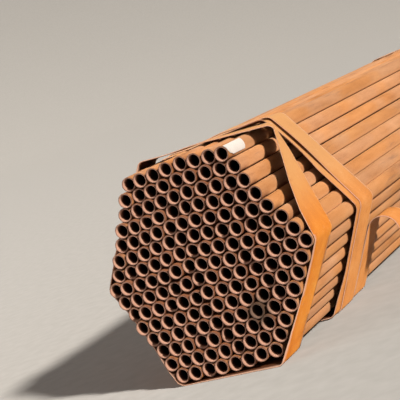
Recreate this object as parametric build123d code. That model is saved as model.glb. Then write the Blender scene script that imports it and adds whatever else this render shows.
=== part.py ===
from build123d import *
import math
import os
import random

# Hexagonal bundle of round steel pipes held by flat steel straps.
# Millimetres. X runs to the right of the near end, Y along the pipes, Z up.
# The near end of the bundle is at -Y.

# Pipe
pipe_outside_diameter = 26.9
pipe_wall = 2.6
pipe_length = 6000.0

# Bundle
pipes_on_a_side = 8
spacing_play = 0.5         # play between neighbours before the bundle settles
contact_clearance = 0.25   # least gap left between two pipes that touch

# Ends of the bundle: the pipes have slid a little along each other
end_slant_across = -0.085  # mm along Y for each mm to the right
end_slant_up = 0.167       # mm along Y for each mm up
end_scatter = 4.0          # each pipe's own slide, either way
scatter_seed = 7

# Places where the stack has slumped or been knocked:
# centre to the right, centre up, reach, shift to the right, shift up
slumps = [
    (-150.0, 0.0, 72.0, 10.5, 0.0),      # left corner pressed in
    (-27.0, 24.0, 60.0, 0.0, 10.5),      # middle ridge, pipes riding high
    (8.0, 95.0, 55.0, 0.0, 5.0),         # ridge running on upwards
    (10.0, 166.0, 45.0, 0.0, 7.0),       # top layer humped
    (50.0, -88.0, 48.0, -6.0, 10.5),     # ridge running down to the right
    (88.0, -168.0, 50.0, -7.0, 13.5),    # lower right corner lifted
    (125.0, 45.0, 80.0, 0.0, -7.5),      # right side sunk
    (175.0, 14.0, 40.0, 9.5, 0.0),       # right corner squeezed out
    (138.0, -70.0, 55.0, 6.0, 0.0),      # lower right side bulging
    (-95.0, -72.0, 80.0, 0.0, -4.0),     # lower left side sunk
    (-8.0, -110.0, 68.0, -6.0, -3.5),    # lower middle slipped to the left
    (-55.0, 137.0, 80.0, -4.0, 0.0),     # upper left side leaning out
]
settling_rounds = 400

# Straps: hot-rolled flat strip wound round the bundle
strap_width = 70.0
strap_thickness = 1.6
strap_clearance = 0.3      # between the strip and what it lies on
lap_length = 90.0          # the strip's two ends overlap on the left side

# How far each strap's six bends stand away from the neat corner pipes, to the
# right and up, in this order:
# upper left, upper right, right, lower right, lower left, left
end_strap_stand_off = ((-3, 12), (20, 2), (0, 0), (-2, 0), (0, 0), (0, 0))
double_strap_stand_off = ((-3, 12), (2, 5), (3, 0), (4, 0), (0, 0), (0, 0))
loose_strap_stand_off = ((0, 0), (0, 0), (2, 0), (0, 0), (0, 0), (0, 0))
plain_strap_stand_off = ((-1, 2), (2, 3), (2, 0), (1, 0), (0, 0), (-1, 0))

# The end strap hangs over the pipes' ends below and leans back over the top. Its front
# edge is pulled away from the upper corners, so that it stands on edge at the right one.
# At the same six bends: the front edge's place from the near end, the room along Y for
# the strip's width, and how far the front edge is pulled to the right and up
end_strap_front = (110.0, 120.0, -11.0, -52.0, -25.0, 30.0)
end_strap_share = (0.97, 0.97, 1.2, 1.15, 1.0, 1.0)
end_strap_pull = ((0, 6), (27, -1), (0, 0), (0, 0), (0, 0), (0, 0))
end_strap_bows = (1.5, 2.0)  # how late its front edge turns away above and below the middle

# The straps behind it, one after the other along the pipes
turn_gap = 2.0             # from the end strap to the double strap's inner turn
turn_shift = 34.0          # the outer turn lies this much further back
loose_strap_gap = 18.0     # from the outer turn to the loose strap
middle_straps = 3          # evenly spaced along the rest
far_strap_places = (400.0, 160.0)        # rear edges, measured from the far end

# The loose strap has come undone: one end is trapped under the bundle and the
# other curls away from the right side
loose_free_length = 62.0   # from the right bend to where it leaves the pipes
loose_curl_radius = 30.0
loose_curl_angle = 150.0
loose_tail_place = -60.0

# Blank paper label on the upper right pipe
label_length = 70.0
label_thickness = 0.5
label_clearance = 0.2
label_arc = 92.0           # degrees of the pipe's surface that it covers
label_turn = 14.0          # direction of its middle, degrees from X towards Z
label_inset = 1.0          # from the pipe's end

# Derived sizes
pipe_radius = pipe_outside_diameter / 2
pitch = pipe_outside_diameter + contact_clearance + spacing_play
contact_distance = pipe_outside_diameter + contact_clearance
row_height = pitch * math.sqrt(3) / 2
row_rise = row_height * (pipes_on_a_side - 1)
bundle_side = (pipes_on_a_side - 1) * pitch
strap_radius = pipe_radius + strap_clearance
strap_step = strap_thickness + strap_clearance
near_end = -pipe_length / 2
inner_turn_place = end_strap_front[1] + strap_width * end_strap_share[1] + turn_gap
outer_turn_place = inner_turn_place + turn_shift
loose_strap_place = outer_turn_place + strap_width + loose_strap_gap
bend_step = 15.0           # degrees of a bend for each facet of the end strap
side_step = bundle_side / 4  # length of its facets between the bends


def lattice():
    """Pipe centres (x, z) of a neat hexagonal stack, layer by layer from the bottom."""
    layers = []
    for row in range(1 - pipes_on_a_side, pipes_on_a_side):
        count = 2 * pipes_on_a_side - 1 - abs(row)
        first = -(count - 1) / 2 * pitch
        layers.append([[first + i * pitch, row * row_height] for i in range(count)])
    return layers


def slump(point):
    """Move one pipe centre by what the knocked places near it ask for."""
    x, z = point
    move_x = 0.0
    move_z = 0.0
    for place_x, place_z, reach, shift_x, shift_z in slumps:
        share = math.exp(-((x - place_x) ** 2 + (z - place_z) ** 2) / reach ** 2)
        move_x += share * shift_x
        move_z += share * shift_z
    point[0] += move_x
    point[1] += move_z


def settle(points, floor):
    """Push overlapping pipes apart until each pair only touches, none below the floor."""
    pairs = []
    for i, a in enumerate(points):
        for j in range(i):
            if math.dist(a, points[j]) < 2.5 * pitch:
                pairs.append((i, j))
    for _ in range(settling_rounds):
        for i, j in pairs:
            a = points[i]
            b = points[j]
            gap = math.dist(a, b)
            if gap < contact_distance:
                push = (contact_distance - gap) / 2 / gap
                push_x = (a[0] - b[0]) * push
                push_z = (a[1] - b[1]) * push
                a[0] += push_x
                a[1] += push_z
                b[0] -= push_x
                b[1] -= push_z
        for point in points:
            point[1] = max(point[1], floor)


def stacked_layers():
    """Pipe centres after the stack has slumped and settled, layer by layer."""
    layers = lattice()
    points = [point for layer in layers for point in layer]
    floor = layers[0][0][1]
    for point in points:
        slump(point)
    settle(points, floor)
    return layers


def end_place(x, z, scatter):
    """Y of a pipe's near end."""
    slide = scatter.uniform(-end_scatter, end_scatter)
    return near_end + end_slant_across * x + end_slant_up * z + slide


def tube():
    """One pipe along +Y from the origin."""
    section = Circle(pipe_radius) - Circle(pipe_radius - pipe_wall)
    return extrude(Plane.XZ * section, amount=-pipe_length).solid()


def pipe_layer(layer, ends):
    """The pipes of one layer, side by side."""
    pipe = tube()
    pipes = [pipe.moved(Location((x, y, z))) for (x, z), y in zip(layer, ends)]
    return Compound(pipes)


def turn_of(a, b, c):
    """Positive where a, b, c turn to the left."""
    return (b[0] - a[0]) * (c[1] - b[1]) - (b[1] - a[1]) * (c[0] - b[0])


def half_hull(points):
    """One side of the convex outline of points sorted from left to right."""
    line = []
    for p in points:
        while len(line) > 1 and turn_of(line[-2], line[-1], p) <= 1e-6:
            line.pop()
        line.append(p)
    return line[:-1]


def hull(points):
    """Convex outline of the points, anticlockwise."""
    ordered = sorted(set(points))
    return half_hull(ordered) + half_hull(ordered[::-1])


def bend_centres(stand_off, drop):
    """Centres of a strap's six bends: the neat corner pipes, each moved outwards."""
    centres = []
    for turn, (right, up) in zip((120, 60, 0, -60, -120, 180), stand_off):
        x = bundle_side * math.cos(math.radians(turn)) + right
        z = bundle_side * math.sin(math.radians(turn)) + up
        if turn in (-60, -120):
            z -= drop
        centres.append((x, z))
    return centres


def band(outline, radius):
    """Section of a strip bent round the outline's corners at that inner radius."""
    core = make_face(Polyline(*outline, close=True))
    inside = offset(core, amount=radius, kind=Kind.ARC)
    return offset(inside, amount=strap_thickness, kind=Kind.ARC) - inside


def lap_window():
    """Where a strip's two ends lie on each other: part of the upper left side."""
    window = Rectangle(lap_length, bundle_side)
    return window.moved(Location((-0.75 * bundle_side, row_rise / 2, 0), 60))


def upright(section, front, width):
    """A section drawn in XY, stood up across the bundle from y = front backwards."""
    return extrude(Plane.XZ.offset(-front) * section, amount=-width)


def straight_strap(centres, place, stand_off, layer=0, drop=0.0, lapped=True):
    """A strap that runs square across the bundle."""
    outline = hull(centres + bend_centres(stand_off, drop))
    radius = strap_radius + layer * strap_step
    section = band(outline, radius)
    if lapped:
        section += band(outline, radius + strap_thickness) & lap_window()
    return upright(section, near_end + place, strap_width)


def edge_angles(outline):
    """Direction that each side of the outline faces, from the side before its first corner."""
    sides = zip(outline[-1:] + outline, outline)
    return [math.atan2(b[1] - a[1], b[0] - a[0]) - math.pi / 2 for a, b in sides]


def corner_turns(outline):
    """How far the outline turns at each corner."""
    angles = edge_angles(outline)
    turns = zip(angles, angles[1:] + angles[:1])
    return [(b - a + math.pi) % math.tau - math.pi for a, b in turns]


def rounded(outline, radius, facets):
    """Points round the outline at that distance, with so many at each of its corners."""
    points = []
    for (x, z), start, turn, count in zip(
        outline, edge_angles(outline), corner_turns(outline), facets
    ):
        for i in range(count):
            angle = start + turn * (i + 0.5) / count
            points.append((x + radius * math.cos(angle), z + radius * math.sin(angle)))
    return points


def divided(outline):
    """The outline with points added along its long sides."""
    points = []
    for (x, z), (next_x, next_z) in zip(outline, outline[1:] + outline[:1]):
        count = max(1, round(math.hypot(next_x - x, next_z - z) / side_step))
        for i in range(count):
            points.append((x + (next_x - x) * i / count, z + (next_z - z) * i / count))
    return points


def place_at(point, places, bows):
    """A place along Y at that point of the outline, from those at the six bends."""
    x, z = point
    upper_left, upper_right, right, lower_right, lower_left, left = places
    rise = min(abs(z) / row_rise, 1.0)
    if z > 0:
        share = rise ** bows[0]
        ends = (upper_left, upper_right)
    else:
        share = rise ** bows[1]
        ends = (lower_left, lower_right)
    at_left = left + share * (ends[0] - left)
    at_right = right + share * (ends[1] - right)
    across = min(max(0.5 + x / bundle_side / (2 - rise), 0.0), 1.0)
    return near_end + at_left + across * (at_right - at_left)


def pulled(point, corners):
    """Move a point by the pull at each corner, the less the further it is from it."""
    x, z = point
    for corner, (right, up) in zip(corners, end_strap_pull):
        share = max(0.0, 1 - math.dist(point, corner) / bundle_side)
        x += share * right
        z += share * up
    return (x, z)


def leaning_band(front_outline, rear_outline, radius):
    """A strip whose front and rear edges follow outlines and places of their own."""
    facets = [round(turn / math.radians(bend_step)) + 1 for turn in corner_turns(rear_outline)]
    rear = [front + strap_width * share for front, share in zip(end_strap_front, end_strap_share)]
    front_edge = (front_outline, end_strap_front, end_strap_bows)
    rear_edge = (rear_outline, rear, (1.0, 1.0))
    outer = radius + strap_thickness
    edges = []
    for (outline, places, bows), distance in (
        (front_edge, radius), (front_edge, outer), (rear_edge, outer), (rear_edge, radius)
    ):
        points = rounded(outline, distance, facets)
        edges.append([Vector(x, place_at((x, z), places, bows), z) for x, z in points])
    faces = []
    for near, far in zip(edges, edges[1:] + edges[:1]):
        for i in range(len(near)):
            near_side = Edge.make_line(near[i - 1], near[i])
            far_side = Edge.make_line(far[i - 1], far[i])
            faces.append(Face.make_surface_from_curves(near_side, far_side))
    return Solid(Shell(faces))


def end_strap(centres):
    """The strap at the near end, leaning back over the top and pulled away at a corner."""
    bends = bend_centres(end_strap_stand_off, strap_step)
    rear_outline = divided(hull(centres + bends))
    front_outline = [pulled(point, bends) for point in rear_outline]
    strap = leaning_band(front_outline, rear_outline, strap_radius)
    lap = leaning_band(front_outline, rear_outline, strap_radius + strap_thickness)
    window = upright(lap_window(), near_end - bundle_side, 2 * bundle_side)
    return strap + (lap & window)


def back_along(outline, start, distance):
    """The point that far back along the outline from one of its corners, and the way on."""
    here = Vector(*outline[start])
    while True:
        start -= 1
        step = Vector(*outline[start]) - here
        if step.length >= distance:
            return here + step.normalized() * distance, -step.normalized()
        distance -= step.length
        here = Vector(*outline[start])


def loose_strap(centres):
    """A strap that has come undone, its free end curling away from the right side."""
    outline = hull(centres + bend_centres(loose_strap_stand_off, strap_step))
    right_bend = outline.index(max(outline))
    leave, along = back_along(outline, right_bend, loose_free_length)
    outwards = Vector(along.Y, -along.X)
    reach = 2 * bundle_side
    end_out = leave + outwards * reach
    end_in = leave - outwards * bundle_side / 2
    window = Polygon(
        (loose_tail_place, -reach),
        (reach, -reach),
        (end_out.X, end_out.Y),
        (end_in.X, end_in.Y),
        (loose_tail_place, -row_rise / 2),
        align=None,
    )
    lying = band(outline, strap_radius) & window
    middle = leave + outwards * (strap_radius + strap_thickness + loose_curl_radius)
    start = math.degrees(math.atan2(-outwards.Y, -outwards.X)) - loose_curl_angle
    curl = arc_strip(middle, loose_curl_radius, strap_thickness, start, loose_curl_angle)
    return upright(lying + curl, near_end + loose_strap_place, strap_width)


def arc_strip(middle, radius, thickness, start, turn):
    """Flat section of a strip bent to an arc, thickness outwards from the radius."""
    near = CenterArc((middle.X, middle.Y), radius, start, turn)
    far = CenterArc((middle.X, middle.Y), radius + thickness, start, turn)
    return make_face([near, far, Line(near @ 0, far @ 0), Line(near @ 1, far @ 1)])


def label(pipe_centre, pipe_end):
    """Paper label wrapped on the upper side of one pipe."""
    start = label_turn - label_arc / 2
    radius = pipe_radius + label_clearance
    section = arc_strip(Vector(*pipe_centre), radius, label_thickness, start, label_arc)
    return upright(section, pipe_end + label_inset, label_length)


scatter = random.Random(scatter_seed)
layers = stacked_layers()
ends = [[end_place(x, z, scatter) for x, z in layer] for layer in layers]
centres = [tuple(point) for layer in layers for point in layer]

parts = {}
for number, (layer, layer_ends) in enumerate(zip(layers, ends), start=1):
    parts[f"pipe_layer_{number:02d}"] = pipe_layer(layer, layer_ends)
parts["end_strap"] = end_strap(centres)
parts["double_strap_inner_turn"] = straight_strap(
    centres, inner_turn_place, double_strap_stand_off, lapped=False
)
parts["double_strap_outer_turn"] = straight_strap(
    centres, outer_turn_place, double_strap_stand_off, layer=1
)
parts["loose_strap"] = loose_strap(centres)
plain_strap_places = [
    pipe_length * (number + 1) / (middle_straps + 1) for number in range(middle_straps)
]
plain_strap_places += [pipe_length - place - strap_width for place in far_strap_places]
for number, place in enumerate(plain_strap_places, start=1):
    strap = straight_strap(centres, place, plain_strap_stand_off, drop=strap_step)
    parts[f"plain_strap_{number}"] = strap
parts["label"] = label(layers[-1][-1], ends[-1][-1])

# The origin is under the middle of the whole bundle, on the ground
box = Compound(list(parts.values())).bounding_box()
middle = box.center()
to_origin = Location((-middle.X, -middle.Y, -box.min.Z))

os.makedirs("parts", exist_ok=True)
for name, part in parts.items():
    export_step(part.moved(to_origin), f"parts/{name}.step")
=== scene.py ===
import math
import random

import bmesh
import bpy
import numpy as np
from mathutils import Matrix, Vector, noise


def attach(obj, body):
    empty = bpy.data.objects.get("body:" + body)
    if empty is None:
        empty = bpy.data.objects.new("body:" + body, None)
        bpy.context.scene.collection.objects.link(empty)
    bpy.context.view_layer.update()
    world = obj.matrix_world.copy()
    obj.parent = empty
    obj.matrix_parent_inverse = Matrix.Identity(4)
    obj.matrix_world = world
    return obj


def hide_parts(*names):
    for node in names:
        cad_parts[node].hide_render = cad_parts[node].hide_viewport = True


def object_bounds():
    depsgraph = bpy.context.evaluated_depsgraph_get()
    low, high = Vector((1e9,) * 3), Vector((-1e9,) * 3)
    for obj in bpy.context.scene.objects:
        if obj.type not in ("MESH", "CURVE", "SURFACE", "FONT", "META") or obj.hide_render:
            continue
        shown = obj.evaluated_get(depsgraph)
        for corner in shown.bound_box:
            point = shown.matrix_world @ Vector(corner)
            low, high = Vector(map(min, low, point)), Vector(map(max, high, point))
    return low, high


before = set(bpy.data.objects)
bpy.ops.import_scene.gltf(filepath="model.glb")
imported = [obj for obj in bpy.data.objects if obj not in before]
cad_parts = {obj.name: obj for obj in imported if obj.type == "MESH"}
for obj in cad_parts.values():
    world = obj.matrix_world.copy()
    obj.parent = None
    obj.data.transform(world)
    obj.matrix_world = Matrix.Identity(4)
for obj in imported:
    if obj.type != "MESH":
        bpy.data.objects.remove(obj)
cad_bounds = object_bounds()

# A bundle of rusty steel pipes held by flat steel straps.
# Metres in the row frame, and angles in degrees unless radians are named.
# The near ends of the pipes are at -Y.

low_corner = Vector(cad_bounds[0])
high_corner = Vector(cad_bounds[1])
middle_height = (low_corner.z + high_corner.z) / 2
tiny = 1e-6                     # places nearer than this are one place

# Pipe sizes
layer_count = 15
pipe_radius = 0.01345
bore_radius = 0.01085
pipe_sides = 40
outer_chamfer_length = 0.0005
outer_chamfer_width = 0.0004
inner_chamfer = 0.0010          # as long as it is wide
ring_steps = (0.003, 0.008, 0.018, 0.04, 0.12, 0.6)  # further rings, measured from each end
pipe_sharp_angle = 40
mouth_length = 0.02             # the stretch at each end that counts as its mouth
outside_depth = -0.001          # the depth field's value outside the bore

# Contact of pipes, which says where painted shade and painted highlight go
least_apart = 0.001             # a middle nearer than this is the pipe's own
touching_reach = 2.9 * pipe_radius  # a middle nearer than this is a neighbour's
open_neighbours = 5             # a pipe with more neighbours than this lies inside the stack
contact_width = 0.55            # radians to each side in which a contact fades out

# Wear of the pipes' ends. A reach says how soon the wear fades along the pipe
wear_seed = 20
most_oval = 0.0009
oval_reach = 0.06
most_slant = 0.0011
slant_reach = 0.03
dent_chance = 0.10
dent_depths = (0.0008, 0.0022)
dent_width = 0.7                # radians
dent_reach = 0.012
burr_height = 0.00012
burr_length = 0.00018
burr_reach = 0.001

# A dark smudge across some mouths
smudge_place = (0.070, -3.018, 0.092)
smudge_full = 0.026             # nearer than this it is full
smudge_end = 0.050

# Strap sizes
strap_slices = 8                # along Y
strap_cuts = 48                 # planes through the bundle's axis that cut them too
strap_flat = 0.3                # faces that turn less than this are one face
strap_sliver = 0.0006           # corners nearer than this are joined after the cuts
strap_corner = 60               # an edge that turns more than this is rounded
strap_rounding = 0.0004
bulge = 0.0010
bulge_scale = 14
ripple = 0.0012
ripple_scale = 9
free_margin = 0.02              # the waves fade out this near the whole bundle's box
piece_sharp_angle = 50

# How far a strap's front edge stands off at the upper right side, how far it does
# down the right corner, and how far from the front edge it lies down again
edge_lifts = {
    "double_strap_inner_turn": (0.0115, 0.006, 0.033),
    "double_strap_outer_turn": (0.006, 0.0, 0.04),
}
no_lift = (0.0, 0.0, 1.0)
upper_lift_angle = 46           # round the bundle, from X towards Z
upper_lift_spread = 46
lower_lift_angle = 5
lower_lift_spread = 70
lower_lift_fade = 30

# How far a strap's upper left corner sags
corner_sags = {
    "end_strap": 0.004,
    "double_strap_inner_turn": 0.011,
    "double_strap_outer_turn": 0.011,
}
sag_width = 0.075               # from the middle to where it sags fully
sag_bottom = 0.20
sag_height = 0.155

# Label sizes
label_slices = 24
label_facing = 14               # from X towards Z
label_wave = 0.0004
label_wave_scale = 60
rear_lift = 0.0012
rear_lift_length = 0.035        # from the label's middle, as is the height
rear_lift_height = 0.01
torn_length = 0.017
front_raggedness = 0.006
rear_raggedness = 0.0012
ragged_scale = 420

# Camera, with its lens and sensor in millimetres
camera_location = (1.04368, -4.91598, 0.47325)
camera_azimuth = 27.87
camera_down = 4.71
camera_roll = 20.49
camera_lens = 118.3
camera_sensor = 36.0
camera_range = 100.0

# Floor: a flat disc that sweeps up far away on all sides
floor_flat = 30.0
floor_sweep = 15.0
floor_sides = 96
flat_rings = 4
sweep_rings = 12

# Colours, as linear red, green and blue
mill_scale = (0.250, 0.140, 0.100)
# painted highlight for the valleys where outer pipes touch
lit_rust = (0.840, 0.460, 0.220)
# painted shade for pipes inside the stack and where pipes touch at the mouths
shaded_rust = (0.22, 0.075, 0.036)
# painted shade for the outer edge of the cut rims
painted_rim_edge_shade = (0.10, 0.045, 0.028)
smudge_colour = (0.055, 0.045, 0.030)
faded_strap = (0.64, 0.355, 0.150)
dusty_strap = (0.80, 0.500, 0.270)
# painted shade for a strap's inner face
painted_strap_inner_shade = (0.100, 0.032, 0.012)
paper_dirt = (0.50, 0.33, 0.22)

# The bundle's axis, which runs along Y
axis_place = (0.0, 0.0, 0.19)
across_axis = (1.0, 0.0, 1.0)   # times this, a direction has no part along the axis


# Looks

class Looks:
    """A node material with short calls for what these surfaces need."""

    # A mix node's sockets for colours, which share their names with its others
    mix_share = 0
    mix_first = 6
    mix_second = 7
    mix_result = 2

    def __init__(self, name):
        self.material = bpy.data.materials.new(name)
        self.material.use_nodes = True
        self.tree = self.material.node_tree
        self.shader = self.tree.nodes["Principled BSDF"]
        self.place = self.tree.nodes.new("ShaderNodeTexCoord").outputs["Object"]

    def add(self, kind, inputs=(), **settings):
        """A node, with inputs that are values or other nodes' outputs."""
        node = self.tree.nodes.new(kind)
        for key, value in settings.items():
            setattr(node, key, value)
        for key, value in dict(inputs).items():
            self.put(value, node.inputs[key])
        return node

    def put(self, value, socket):
        if isinstance(value, bpy.types.NodeSocket):
            self.tree.links.new(value, socket)
        else:
            socket.default_value = value

    def attribute(self, name):
        return self.add("ShaderNodeAttribute", attribute_name=name).outputs["Fac"]

    def plus(self, a, b):
        return self.add("ShaderNodeMath", {0: a, 1: b}, operation="ADD").outputs[0]

    def times(self, a, b):
        return self.add("ShaderNodeMath", {0: a, 1: b}, operation="MULTIPLY").outputs[0]

    def size(self, value):
        return self.add("ShaderNodeMath", {0: value}, operation="ABSOLUTE").outputs[0]

    def weighted(self, first, *others):
        """Sum of values, each given with its weight."""
        total = self.times(*first)
        for other in others:
            total = self.plus(total, self.times(*other))
        return total

    def vector(self, operation, *vectors):
        """Outputs of a vector operation: a vector first, or a number named Value."""
        return self.add("ShaderNodeVectorMath", enumerate(vectors), operation=operation).outputs

    def joined(self, x, y, z):
        return self.add("ShaderNodeCombineXYZ", {"X": x, "Y": y, "Z": z}).outputs[0]

    def part(self, vector, axis):
        return self.add("ShaderNodeSeparateXYZ", {"Vector": vector}).outputs[axis]

    def stretched(self, scale, shift=None):
        """Object coordinates scaled, and moved by shift so that pieces differ."""
        place = self.place if shift is None else self.vector("ADD", self.place, shift)[0]
        return self.add("ShaderNodeMapping", {"Vector": place, "Scale": scale}).outputs[0]

    def noise(self, place, scale, detail, roughness, distortion=0.0):
        inputs = {
            "Vector": place,
            "Scale": scale,
            "Detail": detail,
            "Roughness": roughness,
            "Distortion": distortion,
        }
        return self.add("ShaderNodeTexNoise", inputs).outputs["Fac"]

    def between(self, value, start, end):
        """0 at start and 1 at end, smooth between them. Start may be the higher one."""
        inputs = {"Value": value, "From Min": start, "From Max": end}
        node = self.add("ShaderNodeMapRange", inputs, interpolation_type="SMOOTHSTEP")
        return node.outputs["Result"]

    def rescaled(self, value, start, end, least, most):
        """Least at start and most at end, straight between them."""
        inputs = {"Value": value, "From Min": start, "From Max": end, "To Min": least, "To Max": most}
        return self.add("ShaderNodeMapRange", inputs).outputs["Result"]

    def ramp(self, value, *stops):
        """Colours at places between 0 and 1, blended between them."""
        node = self.add("ShaderNodeValToRGB", {"Fac": value})
        elements = node.color_ramp.elements
        while len(elements) < len(stops):
            elements.new(0.5)
        for element, (place, colour) in zip(elements, stops):
            element.position = place
            element.color = (*colour, 1.0)
        return node.outputs["Color"]

    def mix(self, share, a, b, blend="MIX"):
        """Colour a where share is 0, and b blended over it where share is 1."""
        node = self.add("ShaderNodeMix", data_type="RGBA", blend_type=blend)
        for key, value in ((self.mix_share, share), (self.mix_first, a), (self.mix_second, b)):
            self.put((*value, 1.0) if isinstance(value, tuple) else value, node.inputs[key])
        return node.outputs[self.mix_result]

    def bump(self, height, distance, strength, normal=None):
        inputs = {"Height": height, "Distance": distance, "Strength": strength}
        if normal is not None:
            inputs["Normal"] = normal
        return self.add("ShaderNodeBump", inputs).outputs["Normal"]

    def facing(self):
        return self.add("ShaderNodeNewGeometry").outputs["Normal"]

    def facing_ends(self):
        """1 on the surfaces that face along Y, such as cut ends and strip edges."""
        along = self.size(self.part(self.facing(), "Y"))
        return self.between(along, start=0.45, end=0.8)

    def facing_inwards(self):
        """1 on the faces turned to the middle of the bundle."""
        outwards = self.vector("SUBTRACT", self.place, axis_place)[0]
        outwards = self.vector("MULTIPLY", outwards, across_axis)[0]
        outwards = self.vector("NORMALIZE", outwards)[0]
        turned = self.vector("DOT_PRODUCT", outwards, self.facing())["Value"]
        return self.between(turned, start=-0.2, end=-0.6)

    def finish(self, colour, roughness, normal, specular=0.3):
        self.put(colour, self.shader.inputs["Base Color"])
        self.put(roughness, self.shader.inputs["Roughness"])
        self.put(normal, self.shader.inputs["Normal"])
        self.shader.inputs["Metallic"].default_value = 0.0
        self.shader.inputs["Specular IOR Level"].default_value = specular
        self.shader.inputs["Diffuse Roughness"].default_value = 1.0
        return self.material


def pipe_rust(looks, mixed, own, long):
    """Orange to pinkish rust with a few darker patches of mill scale."""
    orange = looks.ramp(
        mixed,
        (0.33, (0.360, 0.130, 0.036)),
        (0.44, (0.580, 0.245, 0.080)),
        (0.56, (0.690, 0.315, 0.115)),
        (0.70, (0.770, 0.400, 0.170)),
    )
    pinkish = looks.ramp(
        mixed,
        (0.33, (0.330, 0.130, 0.056)),
        (0.44, (0.550, 0.265, 0.125)),
        (0.56, (0.660, 0.345, 0.175)),
        (0.70, (0.750, 0.440, 0.250)),
    )
    areas = looks.noise(own, scale=5.0, detail=2.0, roughness=0.5)
    rust = looks.mix(looks.between(areas, start=0.38, end=0.62), orange, pinkish)
    patches = looks.noise(long, scale=46.0, detail=6.0, roughness=0.62)
    patches = looks.between(patches, start=0.60, end=0.70)
    return looks.mix(looks.times(patches, 0.40), rust, mill_scale)


def tone_and_painted_low_shade(looks, tone):
    """Grey that makes each pipe a little lighter or darker, and painted shade that darkens the lower ones.
    """
    low = looks.between(looks.part(looks.place, "Z"), start=0.20, end=0.16)
    shade = looks.rescaled(tone, start=0.0, end=1.0, least=0.90, most=1.05)
    # painted shade on the lower pipes
    shade = looks.plus(shade, looks.times(low, -0.12))
    return looks.joined(shade, shade, shade)


def rim_colour(looks, grain, depth):
    """Pale cut steel, with painted shade that darkens it towards the outer edge."""
    cut_steel = looks.ramp(grain, (0.3, (0.42, 0.235, 0.170)), (0.7, (0.86, 0.520, 0.400)))
    outwards = looks.between(depth, start=0.1 * outside_depth, end=0.8 * outside_depth)
    return looks.mix(looks.times(outwards, 0.78), cut_steel, painted_rim_edge_shade)


def bore_with_painted_shade(looks, grain, depth):
    """Pale at the mouth, then painted shade that makes the bore dark from about two centimetres inwards."""
    return looks.ramp(
        looks.plus(depth, looks.times(grain, 0.004)),
        (0.000, (0.68, 0.420, 0.320)),
        (0.008, (0.60, 0.330, 0.220)),
        (0.013, (0.10, 0.036, 0.020)),
        (0.022, (0.008, 0.003, 0.002)),
    )


def smudge_share(looks, blotches):
    """1 in the middle of the smudge, falling to 0 at its uneven edge."""
    apart = looks.vector("DISTANCE", looks.place, smudge_place)["Value"]
    uneven = looks.plus(apart, looks.times(blotches, 0.03))
    return looks.between(uneven, start=smudge_end, end=smudge_full)


def pipe_looks():
    """Rusty pipe: tone differs by pipe, depth says where on it a point is, and two more fields say where
    painted highlight and painted shade go.
    """
    looks = Looks("rusty_pipe")
    tone = looks.attribute("tone")
    depth = looks.attribute("depth")
    shift = looks.joined(looks.times(tone, 7.3), looks.times(tone, 31.0), looks.times(tone, 3.1))
    own = looks.stretched((1, 1, 1), shift)
    longish = looks.stretched((1, 0.22, 1), shift)
    long = looks.stretched((1, 0.10, 1), shift)
    blotches = looks.noise(longish, scale=24.0, detail=5.0, roughness=0.6, distortion=0.3)
    streaks = looks.noise(long, scale=120.0, detail=3.0, roughness=0.5)
    grain = looks.noise(own, scale=700.0, detail=5.0, roughness=0.7)
    pits = looks.noise(own, scale=1900.0, detail=2.0, roughness=0.6)
    mixed = looks.weighted((blotches, 0.50), (streaks, 0.14), (grain, 0.36))

    rust = pipe_rust(looks, mixed, own, long)
    # Each pipe's own tone, with painted shade on the lower pipes
    rust = looks.mix(1.0, rust, tone_and_painted_low_shade(looks, tone), "MULTIPLY")
    # Painted highlight in the valleys where outer pipes touch
    rust = looks.mix(looks.times(looks.attribute("painted_valley_light"), 0.8), rust, lit_rust)
    # Painted shade where pipes touch at the mouths, and over pipes inside the stack
    rust = looks.mix(looks.times(looks.attribute("painted_gap_shade"), 0.85), rust, shaded_rust)
    # Cut rims, with painted shade towards their outer edge
    colour = looks.mix(looks.facing_ends(), rust, rim_colour(looks, grain, depth))
    inside = looks.between(depth, start=0.0004, end=0.0012)
    # The bore, with painted shade deeper in
    colour = looks.mix(inside, colour, bore_with_painted_shade(looks, grain, depth))
    smudge = looks.times(smudge_share(looks, blotches), 0.75)
    colour = looks.mix(smudge, colour, smudge_colour)

    roughness = looks.rescaled(mixed, start=0.35, end=0.7, least=0.62, most=0.88)
    normal = looks.bump(blotches, distance=0.0006, strength=0.35)
    normal = looks.bump(grain, distance=0.0004, strength=0.5, normal=normal)
    normal = looks.bump(pits, distance=0.00015, strength=0.5, normal=normal)
    return looks.finish(colour, roughness, normal)


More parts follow.
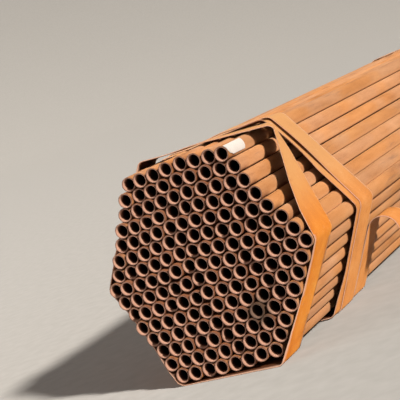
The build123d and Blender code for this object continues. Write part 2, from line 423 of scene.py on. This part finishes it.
def strap_looks(name, warm, tan, dark):
    """Rusty strip, paler towards the top, with painted shade on its inner face, and worn bright at its
    edges.
    """
    looks = Looks(name)
    wound = looks.stretched((0.10, 1, 0.10))
    bands = looks.noise(wound, scale=70.0, detail=3.0, roughness=0.5, distortion=0.2)
    blotches = looks.noise(looks.place, scale=17.0, detail=6.0, roughness=0.62, distortion=0.4)
    grain = looks.noise(looks.place, scale=800.0, detail=5.0, roughness=0.7)
    specks = looks.noise(looks.place, scale=260.0, detail=4.0, roughness=0.75)
    specks = looks.between(specks, start=0.56, end=0.72)
    dust = looks.noise(looks.place, scale=95.0, detail=5.0, roughness=0.7)
    dust = looks.between(dust, start=0.58, end=0.74)
    upper = looks.between(looks.part(looks.place, "Z"), start=0.17, end=0.30)
    mixed = looks.weighted((bands, 0.12), (blotches, 0.50), (grain, 0.38))

    colour = looks.ramp(mixed, (0.36, dark), (0.50, warm), (0.66, tan))
    colour = looks.mix(looks.times(upper, 0.75), colour, faded_strap)
    colour = looks.mix(looks.times(specks, 0.45), colour, dark)
    colour = looks.mix(looks.times(dust, 0.35), colour, dusty_strap)
    # Painted shade on the faces turned to the bundle
    colour = looks.mix(looks.facing_inwards(), colour, painted_strap_inner_shade)
    worn = looks.ramp(grain, (0.3, (0.80, 0.46, 0.31)), (0.7, (0.98, 0.68, 0.51)))
    colour = looks.mix(looks.facing_ends(), colour, worn)

    roughness = looks.rescaled(mixed, start=0.35, end=0.7, least=0.55, most=0.85)
    normal = looks.bump(blotches, distance=0.0015, strength=0.4)
    normal = looks.bump(bands, distance=0.0008, strength=0.3, normal=normal)
    normal = looks.bump(specks, distance=0.0002, strength=0.6, normal=normal)
    normal = looks.bump(grain, distance=0.0003, strength=0.6, normal=normal)
    return looks.finish(colour, roughness, normal)


def label_looks():
    """Plain paper with fibres, rusty dirt and shallow creases."""
    looks = Looks("paper")
    fibres = looks.noise(looks.place, scale=900.0, detail=4.0, roughness=0.6)
    dirt = looks.noise(looks.place, scale=120.0, detail=6.0, roughness=0.65)
    dirt = looks.between(dirt, start=0.56, end=0.75)
    creases = looks.noise(looks.stretched((1, 0.4, 1)), scale=90.0, detail=3.0, roughness=0.5)
    paper = looks.ramp(fibres, (0.3, (0.70, 0.65, 0.61)), (0.7, (0.82, 0.78, 0.74)))
    colour = looks.mix(looks.times(dirt, 0.35), paper, paper_dirt)
    normal = looks.bump(creases, distance=0.0010, strength=0.35)
    normal = looks.bump(fibres, distance=0.0001, strength=0.4, normal=normal)
    return looks.finish(colour, roughness=0.85, normal=normal, specular=0.2)


def floor_looks():
    looks = Looks("pale_floor")
    grain = looks.noise(looks.place, scale=30.0, detail=3.0, roughness=0.5)
    colour = looks.ramp(grain, (0.3, (0.43, 0.42, 0.405)), (0.7, (0.47, 0.46, 0.445)))
    normal = looks.bump(grain, distance=0.0005, strength=0.1)
    return looks.finish(colour, roughness=0.9, normal=normal, specular=0.1)


# Pieces

def link(name, data):
    """Make an object of that data and put it in the scene."""
    made = bpy.data.objects.new(name, data)
    bpy.context.scene.collection.objects.link(made)
    return made


def show(name, mesh, material, node):
    """Put a detailed piece in the scene in place of its CAD node."""
    mesh.materials.clear()
    mesh.materials.append(material)
    piece = link(name, mesh)
    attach(piece, "root")
    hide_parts(node.name)


def ring_faces(here, there, count):
    """Faces between two rings of count points, which begin at points here and there."""
    after = [(side + 1) % count for side in range(count)]
    return [(here + a, there + a, there + b, here + b) for a, b in enumerate(after)]


def eased(share):
    """A share that starts and ends gently, kept between 0 and 1."""
    share = min(1.0, max(0.0, share))
    return share * share * (3 - 2 * share)


# Pipes

# Each ring of a pipe: the end it is measured from, how far, its radius, and its depth
# in the bore. They run outside from the near end to the far one and back inside.
near_end = 0
far_end = 1
outer_steps = (outer_chamfer_length, *ring_steps)
bore_steps = (inner_chamfer, *ring_steps)
rim_outside = pipe_radius - outer_chamfer_width
rim_inside = bore_radius + inner_chamfer
ring_plan = [(near_end, step, pipe_radius, outside_depth) for step in outer_steps]
ring_plan += [(far_end, step, pipe_radius, outside_depth) for step in outer_steps[::-1]]
ring_plan += [(far_end, 0.0, rim_outside, outside_depth), (far_end, 0.0, rim_inside, 0.0)]
ring_plan += [(far_end, step, bore_radius, step) for step in bore_steps]
ring_plan += [(near_end, step, bore_radius, step) for step in bore_steps[::-1]]
ring_plan += [(near_end, 0.0, rim_inside, 0.0), (near_end, 0.0, rim_outside, outside_depth)]


def corner_places(mesh):
    places = np.empty(len(mesh.vertices) * 3, np.float32)
    mesh.vertices.foreach_get("co", places)
    return places.reshape(-1, 3)


def loose_parts(mesh):
    """Vertex places of each solid in a mesh."""
    places = corner_places(mesh)
    same = np.unique(places, axis=0, return_inverse=True)[1].reshape(-1)
    edges = np.empty(len(mesh.edges) * 2, np.int32)
    mesh.edges.foreach_get("vertices", edges)
    ends = same[edges.reshape(-1, 2)]
    group = np.arange(same.max() + 1)
    while True:
        before = group.copy()
        low = np.minimum(group[ends[:, 0]], group[ends[:, 1]])
        np.minimum.at(group, ends[:, 0], low)
        np.minimum.at(group, ends[:, 1], low)
        group = group[group]
        if (group == before).all():
            break
    owner = group[same]
    return [places[owner == solid] for solid in np.unique(owner)]


def pipe_axis(points):
    """Middle (x, z) of a pipe, and where it begins and ends along Y."""
    section = points[:, [0, 2]].astype(float)
    rough_middle = (section.min(0) + section.max(0)) / 2
    section -= rough_middle
    outer = section[np.linalg.norm(section, axis=1) > (pipe_radius + bore_radius) / 2]
    # A circle laid through the outer corners by least squares
    known = np.c_[2 * outer, np.ones(len(outer))]
    x, z, _ = np.linalg.lstsq(known, (outer ** 2).sum(1), rcond=None)[0]
    return rough_middle + (x, z), float(points[:, 1].min()), float(points[:, 1].max())


def wrapped(angles):
    """Angles brought between minus and plus half a turn."""
    return np.angle(np.exp(1j * angles))


def worn_end(wear):
    """How one end of a pipe has been squeezed, sawn and knocked."""
    return {
        "oval": wear.uniform(0.0, most_oval),
        "turn": wear.uniform(0, math.tau),
        "slant": wear.uniform(0.0, most_slant),
        "slant_turn": wear.uniform(0, math.tau),
        "dent": wear.uniform(*dent_depths) if wear.random() < dent_chance else 0.0,
        "dent_turn": wear.uniform(0, math.tau),
        "burr": np.array([wear.uniform(-1, 1) for _ in range(pipe_sides)]),
    }


def worn_ring(end, distance, radius, angles):
    """A ring's points: how far from the pipe's axis, and how far from its end."""
    oval = end["oval"] * (1 - np.cos(2 * (angles - end["turn"]))) / 2
    press = oval * math.exp(-distance / oval_reach)
    off = wrapped(angles - end["dent_turn"])
    press += end["dent"] * np.exp(-(off / dent_width) ** 2) * math.exp(-distance / dent_reach)
    burr = burr_height * end["burr"] * math.exp(-distance / burr_reach)
    slant = end["slant"] * (1 - np.cos(angles - end["slant_turn"])) / 2
    short = slant + burr_length * (1 + end["burr"])
    return radius - press + burr, distance + short * math.exp(-distance / slant_reach)


def pipe_points(middle, near, far, wear):
    """Points of one pipe, ring by ring, with each one's depth, angle and distance from an end."""
    angles = np.arange(pipe_sides) * math.tau / pipe_sides
    ends = [worn_end(wear) for _ in (near_end, far_end)]
    points = []
    for end, distance, radius, _ in ring_plan:
        out, back = worn_ring(ends[end], distance, radius, angles)
        y = near + back if end == near_end else far - back
        points.append(np.c_[middle[0] + out * np.cos(angles), y, middle[1] + out * np.sin(angles)])
    depths = np.repeat([depth for _, _, _, depth in ring_plan], pipe_sides)
    distances = np.repeat([distance for _, distance, _, _ in ring_plan], pipe_sides)
    return np.concatenate(points), depths, np.tile(angles, len(ring_plan)), distances


def tube_faces(start):
    """Faces of a pipe whose points begin at start, with its last ring joined to its first."""
    rings = [start + ring * pipe_sides for ring in range(len(ring_plan))]
    faces = []
    for here, there in zip(rings, rings[1:] + rings[:1]):
        faces += ring_faces(here, there, pipe_sides)
    return faces


def touching(middle, middles):
    """Directions of the pipes that lie against this one."""
    apart = middles - middle
    distance = np.linalg.norm(apart, axis=1)
    near = apart[(distance > least_apart) & (distance < touching_reach)]
    return np.arctan2(near[:, 1], near[:, 0])


def contact_shares(angles, distances, around):
    """How much painted shade a point gets where neighbours touch at the mouths or where the pipe lies
    inside the stack, and how much painted highlight in the valleys further along.
    """
    if len(around) > open_neighbours:
        return np.ones(len(angles)), np.zeros(len(angles))
    off = np.abs(wrapped(angles[:, None] - around[None, :])).min(1)
    contact = np.exp(-(off / contact_width) ** 2)
    return contact * (distances < mouth_length), contact * (distances > mouth_length)


def build_layer(name, node, axes, middles, material, wear):
    """The pipes of one layer with worn, uneven ends."""
    points = []
    faces = []
    fields = {"depth": [], "tone": [], "painted_gap_shade": [], "painted_valley_light": []}
    for middle, near, far in axes:
        own, depths, angles, distances = pipe_points(middle, near, far, wear)
        painted_gap_shade, painted_valley_light = contact_shares(angles, distances, touching(middle, middles))
        faces += tube_faces(len(points) * len(own))
        points.append(own)
        fields["depth"].append(depths)
        fields["tone"].append(np.full(len(own), wear.random()))
        fields["painted_gap_shade"].append(painted_gap_shade)
        fields["painted_valley_light"].append(painted_valley_light)
    mesh = bpy.data.meshes.new(name)
    mesh.from_pydata(np.concatenate(points).tolist(), [], faces)
    for key, values in fields.items():
        field = mesh.attributes.new(key, "FLOAT", "POINT")
        field.data.foreach_set("value", np.concatenate(values).astype(np.float32))
    mesh.shade_smooth()
    mesh.set_sharp_from_angle(angle=math.radians(pipe_sharp_angle))
    show(name, mesh, material, node)


def build_pipes():
    wear = random.Random(wear_seed)
    material = pipe_looks()
    numbers = range(1, layer_count + 1)
    nodes = [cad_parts[f"pipe_layer_{number:02d}"] for number in numbers]
    layers = []
    for node in nodes:
        axes = [pipe_axis(part) for part in loose_parts(node.data)]
        layers.append(sorted(axes, key=lambda axis: axis[0][0]))
    middles = np.array([axis[0] for axes in layers for axis in axes])
    for number, node, axes in zip(numbers, nodes, layers):
        build_layer(f"pipes_{number:02d}", node, axes, middles, material, wear)


# Straps and label

def copied(node):
    """An editable copy of a CAD mesh, with its doubled corners joined."""
    mesh = bmesh.new()
    mesh.from_mesh(node.data)
    bmesh.ops.remove_doubles(mesh, verts=mesh.verts, dist=tiny)
    return mesh


def reach_along(mesh, axis):
    """Lowest and highest place of the mesh along an axis."""
    places = [vertex.co[axis] for vertex in mesh.verts]
    return min(places), max(places)


def cut(mesh, place, across):
    """Cut the faces of a mesh along a plane."""
    geometry = mesh.verts[:] + mesh.edges[:] + mesh.faces[:]
    bmesh.ops.bisect_plane(mesh, geom=geometry, dist=tiny, plane_co=place, plane_no=across)


def cut_across(mesh, slices):
    """Cut a mesh into so many slices along Y."""
    low, high = reach_along(mesh, 1)
    for number in range(1, slices):
        cut(mesh, Vector((0, low + (high - low) * number / slices, 0)), Vector((0, 1, 0)))


def cut_round(mesh, planes):
    """Cut a mesh by so many planes through the bundle's axis."""
    for number in range(planes):
        angle = math.pi * (number + 0.5) / planes
        cut(mesh, Vector((0, 0, middle_height)), Vector((-math.sin(angle), 0, math.cos(angle))))


def finished(name, mesh):
    """A plain mesh made of an editable one, smooth but for its sharp edges."""
    made = bpy.data.meshes.new(name)
    mesh.to_mesh(made)
    mesh.free()
    made.shade_smooth()
    made.set_sharp_from_angle(angle=math.radians(piece_sharp_angle))
    return made


def room(place):
    """1 well inside the whole object's box, falling to 0 at its sides."""
    share = 1.0
    for value, low, high in zip(place, low_corner, high_corner):
        share *= min(1.0, max(0.0, min(value - low, high - value) / free_margin))
    return share


def lifted(place, front, upper, lower, reach):
    """How far a strip's front edge stands off, along the upper right side and further down."""
    angle = math.degrees(math.atan2(place.z - middle_height, place.x))
    above = upper * eased(1 - abs(angle - upper_lift_angle) / upper_lift_spread)
    below = lower * eased((lower_lift_spread - abs(angle - lower_lift_angle)) / lower_lift_fade)
    edge = max(0.0, 1 - (place.y - front) / reach)
    return max(above, below) * edge * edge


def lowered(place, sag):
    """How far a strip sags towards the upper left corner."""
    down = min(1.0, max(0.0, (place.z - sag_bottom) / sag_height))
    return sag * eased(-place.x / sag_width) * down


def round_edges(mesh):
    """Round the sharp edges of a strip."""
    inner = [edge for edge in mesh.edges if len(edge.link_faces) == 2]
    edges = [edge for edge in inner if edge.calc_face_angle() > math.radians(strap_corner)]
    bmesh.ops.bevel(mesh, geom=edges, offset=strap_rounding, segments=2, affect="EDGES", clamp_overlap=True)


def build_strap(name, node, material):
    """A strip with softened edges that waves a little as rolled strip does."""
    edge_lift = edge_lifts.get(node.name, no_lift)
    sag = corner_sags.get(node.name, 0.0)
    flat = math.radians(strap_flat)
    mesh = copied(node)
    bmesh.ops.dissolve_limit(mesh, angle_limit=flat, verts=mesh.verts, edges=mesh.edges)
    cut_across(mesh, strap_slices)
    cut_round(mesh, strap_cuts)
    bmesh.ops.remove_doubles(mesh, verts=mesh.verts, dist=strap_sliver)
    front, _ = reach_along(mesh, 1)
    round_edges(mesh)
    for vertex in mesh.verts:
        place = vertex.co.copy()
        outwards = Vector((place.x, 0, place.z - middle_height)).normalized()
        free = room(place)
        vertex.co += outwards * (bulge * free * (0.5 + 0.5 * noise.noise(place * bulge_scale)))
        vertex.co += outwards * lifted(place, front, *edge_lift)
        vertex.co.z -= lowered(place, sag)
        vertex.co.y += ripple * noise.noise(place * ripple_scale) * free
    show(name, finished(name, mesh), material, node)


def build_straps():
    bright = strap_looks(
        "strap_orange",
        warm=(0.72, 0.235, 0.022),
        tan=(0.78, 0.340, 0.060),
        dark=(0.55, 0.150, 0.014),
    )
    plain = strap_looks(
        "strap_rusty",
        warm=(0.72, 0.285, 0.070),
        tan=(0.76, 0.370, 0.140),
        dark=(0.50, 0.180, 0.045),
    )
    for name in sorted(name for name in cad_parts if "strap" in name):
        material = bright if name == "end_strap" else plain
        build_strap(f"{name}_strip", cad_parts[name], material)


def build_label(name, node, material):
    """A thin paper label with a torn front corner, a slightly lifted rear one and shallow creases."""
    mesh = copied(node)
    cut_across(mesh, label_slices)
    front, rear = reach_along(mesh, 1)
    bottom, top = reach_along(mesh, 2)
    middle = sum((vertex.co for vertex in mesh.verts), Vector()) / len(mesh.verts)
    facing = math.radians(label_facing)
    outwards = Vector((math.cos(facing), 0, math.sin(facing)))
    for vertex in mesh.verts:
        place = vertex.co.copy()
        back = (place.y - front) / (rear - front)
        low = max(0.0, 1 - 2 * (place.z - bottom) / (top - bottom))
        ragged = noise.noise(Vector((0, 0, place.z * ragged_scale)))
        torn = torn_length * low * low + front_raggedness * low * (ragged + 0.5)
        vertex.co.y += (1 - back) * torn
        vertex.co.y -= back * rear_raggedness * (1 + ragged)
        wave = label_wave * (1 + noise.noise(place * label_wave_scale)) / 2
        behind = max(0.0, (place.y - middle.y) / rear_lift_length)
        above = max(0.0, (place.z - middle.z) / rear_lift_height)
        vertex.co += outwards * (wave + rear_lift * min(1.0, behind * above) ** 2)
    show(name, finished(name, mesh), material, node)


# Studio

def aim(lamp, direction):
    """Turn a lamp so that it shines that way."""
    lamp.rotation_euler = direction.to_track_quat("-Z", "Y").to_euler()


def light(name, kind, power, colour):
    made = bpy.data.lights.new(name, kind)
    made.energy = power
    made.color = colour
    return made


def sun_light(name, source, power, softness, colour):
    """A distant soft light that shines from that direction."""
    sun = light(name, "SUN", power, colour)
    sun.angle = math.radians(softness)
    aim(link(name, sun), -Vector(source))


def area_light(name, place, target, size, power, colour):
    """A round lamp at a place, turned to a target."""
    area = light(name, "AREA", power, colour)
    area.shape = "DISK"
    area.size = size
    lamp = link(name, area)
    lamp.location = place
    aim(lamp, Vector(target) - Vector(place))


def build_lights():
    sun_light("key", source=(0.803, -0.320, 0.502), power=3.75, softness=5.0, colour=(1.0, 0.94, 0.86))
    sun_light("back", source=(-0.70, 0.55, 0.45), power=0.9, softness=40.0, colour=(0.96, 0.97, 1.0))
    area_light(
        "fill",
        place=(-3.5, -6.5, 4.5),
        target=(0.0, -2.0, 0.2),
        size=4.0,
        power=60,
        colour=(1.0, 0.93, 0.87),
    )


def build_world():
    """A dim warm light from all around, and colours shown as they are."""
    world = bpy.data.worlds.new("studio")
    world.use_nodes = True
    background = world.node_tree.nodes["Background"].inputs
    background["Color"].default_value = (0.95, 0.86, 0.78, 1.0)
    background["Strength"].default_value = 0.15
    bpy.context.scene.world = world
    bpy.context.scene.view_settings.view_transform = "Standard"


def build_floor():
    """A round floor that sweeps up far away on all sides."""
    profile = [(floor_flat * ring / flat_rings, 0.0) for ring in range(1, flat_rings + 1)]
    for ring in range(1, sweep_rings + 1):
        rise = math.radians(90 * ring / sweep_rings)
        radius = floor_flat + floor_sweep * math.sin(rise)
        profile.append((radius, floor_sweep * (1 - math.cos(rise))))
    angles = [math.tau * side / floor_sides for side in range(floor_sides)]
    points = [(0.0, 0.0, 0.0)]
    for radius, height in profile:
        points += [(radius * math.cos(angle), radius * math.sin(angle), height) for angle in angles]
    faces = [(0, 1 + side, 1 + (side + 1) % floor_sides) for side in range(floor_sides)]
    for ring in range(len(profile) - 1):
        here = 1 + ring * floor_sides
        faces += ring_faces(here, here + floor_sides, floor_sides)
    mesh = bpy.data.meshes.new("floor")
    mesh.from_pydata(points, [], faces)
    mesh.shade_smooth()
    mesh.materials.append(floor_looks())
    link("floor", mesh)


def build_camera():
    azimuth = math.radians(camera_azimuth)
    down = math.radians(camera_down)
    level = math.cos(down)
    forward = Vector((-math.sin(azimuth) * level, math.cos(azimuth) * level, -math.sin(down)))
    right = forward.cross(Vector((0, 0, 1))).normalized()
    above = right.cross(forward)
    roll = Matrix.Rotation(math.radians(-camera_roll), 3, "Z")
    axes = Matrix((right, above, -forward)).transposed() @ roll
    settings = bpy.data.cameras.new("camera")
    settings.lens = camera_lens
    settings.sensor_width = camera_sensor
    settings.clip_end = camera_range
    camera = link("camera", settings)
    camera.matrix_world = Matrix.Translation(camera_location) @ axes.to_4x4()
    bpy.context.scene.camera = camera


build_pipes()
build_straps()
build_label("paper_label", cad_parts["label"], label_looks())
build_floor()
build_lights()
build_world()
build_camera()
